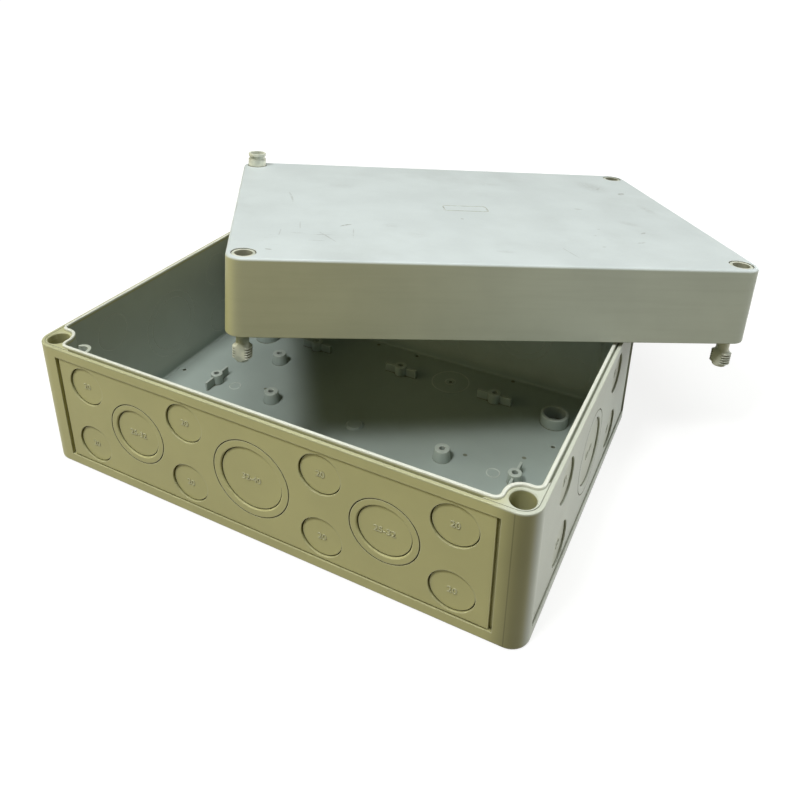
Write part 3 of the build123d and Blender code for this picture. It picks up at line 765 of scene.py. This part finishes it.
class FinishScrews(bpy.types.Operator):
    """Gives the captive screws their plastic"""

    bl_idname = "junction_box.finish_screws"
    bl_label = "Finish screws"

    def execute(self, context):
        dress(named("screw"), screw_plastic())
        return {"FINISHED"}


class AddNumbers(bpy.types.Operator):
    """Raises the plain size numbers on the knockouts of each wall"""

    bl_idname = "junction_box.add_numbers"
    bl_label = "Add knockout numbers"

    def execute(self, context):
        material = base_plastic("number_plastic", crevice_shade=0.0)
        words = {text: number_mesh(text) for text, *rest in LONG_WALL_NUMBERS}
        for wall in WALLS:
            rows = LONG_WALL_NUMBERS if wall in ("front", "back") else SHORT_WALL_NUMBERS
            bm = bmesh.new()
            for text, kind, places, heights in rows:
                for along in places:
                    for height in heights:
                        copy = words[text].copy()
                        copy.transform(wall_place(wall, f"{kind}_{wall}", along, height))
                        bm.from_mesh(copy)
                        bpy.data.meshes.remove(copy)
            mesh = bpy.data.meshes.new(f"numbers_{wall}")
            bm.to_mesh(mesh)
            bm.free()
            relief_piece(f"numbers_{wall}", mesh, "base", material)
        for mesh in words.values():
            bpy.data.meshes.remove(mesh)
        return {"FINISHED"}


class AddLabelField(bpy.types.Operator):
    """Raises the outline of a blank label field in the middle of the lid"""

    bl_idname = "junction_box.add_label_field"
    bl_label = "Add label field"

    def execute(self, context):
        relief = settings().relief
        path, heading = ring_path(relief.label_length / 2, relief.label_width / 2, LABEL_CORNER)
        shape = ridge(path, heading, relief.ridge_width, relief.rise, relief.sink)
        place = LID_PLACE @ Matrix.Translation((*LABEL_MIDDLE, LID_HEIGHT))
        mesh = moulded_mesh("label_field", [(*shape, place)])
        relief_piece("label_field", mesh, "lid", label_plastic())
        return {"FINISHED"}


# Label field: its middle in the lid's axes and the radius of its corners
LABEL_MIDDLE = (0.0, -0.0015)
LABEL_CORNER = 0.0016

# Moulded rings on the floor inside: middle, outer radius
FLOOR_TOP = 0.0026
FLOOR_RINGS = (
    ((-0.0805, 0.0017), 0.0033),
    ((0.0805, 0.0017), 0.0033),
    ((0.0298, 0.0660), 0.0110),
    ((0.0298, 0.0660), 0.0030),
    ((-0.0298, -0.0660), 0.0110),
)


class AddFloorRings(bpy.types.Operator):
    """Raises the low moulding rings on the floor inside the base"""

    bl_idname = "junction_box.add_floor_rings"
    bl_label = "Add floor rings"

    def execute(self, context):
        relief = settings().relief
        shapes = []
        for (x, y), radius in FLOOR_RINGS:
            path, heading = ring_path(radius, radius, radius)
            shape = ridge(path, heading, relief.ridge_width, relief.rise, relief.sink)
            shapes.append((*shape, Matrix.Translation((x, y, FLOOR_TOP))))
        mesh = moulded_mesh("floor_rings", shapes)
        relief_piece("floor_rings", mesh, "base", bpy.data.materials["number_plastic"])
        return {"FINISHED"}


# Camera, found from the photograph's lines, in metres and radians
CAMERA_PLACE = Vector((0.176810, -0.304699, 0.270185))
CAMERA_AIM = Vector((-0.43141545, 0.80333308, -0.41053217))
CAMERA_ROLL = 0.001
CAMERA_LENS = 35.57
CAMERA_SHIFT = (0.0329, -0.1935)


# Lamps: the point at which they aim, and their places, in metres
LAMP_AIM = (0.02, 0.03, 0.05)
KEY_PLACE = (-0.20, -0.77, 1.43)
TOP_PLACE = (0.02, 0.10, 1.55)
LEFT_PLACE = (-1.10, -0.80, 0.60)
RIGHT_PLACE = (1.24, 0.52, 0.54)
BACK_PLACE = (0.62, 1.35, 0.42)


def set_camera():
    """Camera at the photograph's viewing angle."""
    camera = bpy.data.objects.new("camera", bpy.data.cameras.new("camera"))
    bpy.context.scene.collection.objects.link(camera)
    camera.location = CAMERA_PLACE
    camera.rotation_mode = "QUATERNION"
    turn = CAMERA_AIM.to_track_quat("-Z", "Y")
    camera.rotation_quaternion = turn @ Matrix.Rotation(CAMERA_ROLL, 4, "Z").to_quaternion()
    camera.data.lens = CAMERA_LENS
    camera.data.sensor_width = 36.0
    camera.data.shift_x, camera.data.shift_y = CAMERA_SHIFT
    camera.data.clip_start = 0.01
    bpy.context.scene.camera = camera


def soft_lamp(name, place, aim, size, watts, colour):
    """Square area lamp aimed at a point."""
    data = bpy.data.lights.new(name, "AREA")
    data.shape = "RECTANGLE"
    data.size, data.size_y = size
    data.energy = watts
    data.color = colour
    lamp = bpy.data.objects.new(name, data)
    bpy.context.scene.collection.objects.link(lamp)
    lamp.location = place
    lamp.rotation_euler = (Vector(aim) - Vector(place)).to_track_quat("-Z", "Y").to_euler()


def white_world(strength, tint):
    """World that lights the object plainly and looks white to the camera and in reflections."""
    world = bpy.data.worlds.new("studio")
    bpy.context.scene.world = world
    world.use_nodes = True
    tree = world.node_tree
    tree.nodes.clear()
    rays = put(tree, "ShaderNodeLightPath").outputs
    seen = math_node(tree, "MAXIMUM", rays["Is Camera Ray"], rays["Is Transmission Ray"])
    links = {"Value": seen, "To Min": strength, "To Max": 1.0}
    level = put(tree, "ShaderNodeMapRange", links).outputs[0]
    colour = mix(tree, seen, tint, (1, 1, 1))
    shader = put(tree, "ShaderNodeBackground", {"Color": colour, "Strength": level})
    put(tree, "ShaderNodeOutputWorld", {"Surface": shader.outputs[0]})


# Grey of the floor as the camera sees it, under its lift, and half of the floor's side in metres
FLOOR_GREY = 0.28
FLOOR_HALF = 3.0


def floor_material(colour, lift):
    """Pale floor: lifted to white for camera and glossy rays, less near the box and not under it."""
    material, tree = fresh_material("studio_floor")
    rays = put(tree, "ShaderNodeLightPath").outputs
    seen = strongest(tree, [rays["Is Camera Ray"], rays["Is Glossy Ray"], rays["Is Transmission Ray"]])
    place = put(tree, "ShaderNodeTexCoord").outputs["Object"]
    reach = put(tree, "ShaderNodeVectorMath", {0: place}, operation="LENGTH").outputs["Value"]
    level = ramp(tree, reach, 0.25, 0.80, lift, 1.0)
    axes = put(tree, "ShaderNodeSeparateXYZ", {0: piece_place(tree)}).outputs
    beside = ramp(tree, wall_depth(tree, axes, BASE_HIGH.x / MM, BASE_HIGH.y / MM), -3.0, -1.5)
    level = math_node(tree, "MULTIPLY", level, beside)
    shown = mix(tree, seen, colour, (FLOOR_GREY, FLOOR_GREY, FLOOR_GREY))
    diffuse = put(tree, "ShaderNodeBsdfDiffuse", {"Color": shown})
    links = {"Color": (1, 1, 1, 1), "Strength": math_node(tree, "MULTIPLY", seen, level)}
    glow = put(tree, "ShaderNodeEmission", links)
    both = put(tree, "ShaderNodeAddShader", {0: diffuse.outputs[0], 1: glow.outputs[0]})
    put(tree, "ShaderNodeOutputMaterial", {"Surface": both.outputs[0]})
    return material


class SetStage(bpy.types.Operator):
    """Adds the pale floor, the soft lamps and the camera"""

    bl_idname = "junction_box.set_stage"
    bl_label = "Set stage"

    def execute(self, context):
        stage = settings().stage
        mesh = bpy.data.meshes.new("floor")
        half = FLOOR_HALF
        corners = [(-half, -half, 0), (half, -half, 0), (half, half, 0), (-half, half, 0)]
        mesh.from_pydata(corners, [], [(0, 1, 2, 3)])
        floor = bpy.data.objects.new("floor", mesh)
        context.scene.collection.objects.link(floor)
        mesh.materials.append(floor_material(stage.floor, stage.floor_lift))
        white_world(stage.world_strength, stage.world)
        soft_lamp("key_lamp", KEY_PLACE, LAMP_AIM, (0.35, 0.35), stage.key_watts, (0.98, 1.0, 1.0))
        soft_lamp("top_lamp", TOP_PLACE, LAMP_AIM, (0.9, 0.9), stage.top_watts, (0.96, 1.0, 1.0))
        soft_lamp("left_lamp", LEFT_PLACE, LAMP_AIM, (0.6, 0.6), stage.left_watts, (1.0, 0.93, 0.50))
        soft_lamp("right_lamp", RIGHT_PLACE, LAMP_AIM, (0.6, 0.6), stage.right_watts, (0.97, 1.0, 1.0))
        soft_lamp("back_lamp", BACK_PLACE, LAMP_AIM, (0.7, 0.7), stage.back_watts, (1.0, 1.0, 1.0))
        set_camera()
        context.scene.view_settings.view_transform = "Standard"
        return {"FINISHED"}


class BoxPanel(bpy.types.Panel):
    """Lists the steps that dress the junction box"""

    bl_idname = "VIEW3D_PT_junction_box"
    bl_label = "Junction Box"
    bl_space_type = "VIEW_3D"
    bl_region_type = "UI"
    bl_category = "Junction Box"

    def draw(self, context):
        for operator in OPERATORS:
            self.layout.operator(operator.bl_idname)


SETTINGS = (PlasticSettings, ReliefSettings, StageSettings, BoxSettings)
OPERATORS = (
    FinishBase, FinishLid, FinishGasket, FinishScrews,
    AddNumbers, AddLabelField, AddFloorRings, SetStage,
)


def register():
    for kind in (*SETTINGS, *OPERATORS, BoxPanel):
        bpy.utils.register_class(kind)
    bpy.types.Scene.junction_box = bpy.props.PointerProperty(type=BoxSettings)


def unregister():
    del bpy.types.Scene.junction_box
    for kind in reversed((*SETTINGS, *OPERATORS, BoxPanel)):
        bpy.utils.unregister_class(kind)


def main():
    """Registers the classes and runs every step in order."""
    register()
    for operator in OPERATORS:
        group, step = operator.bl_idname.split(".")
        getattr(getattr(bpy.ops, group), step)()


if __name__ == "__main__":
    main()
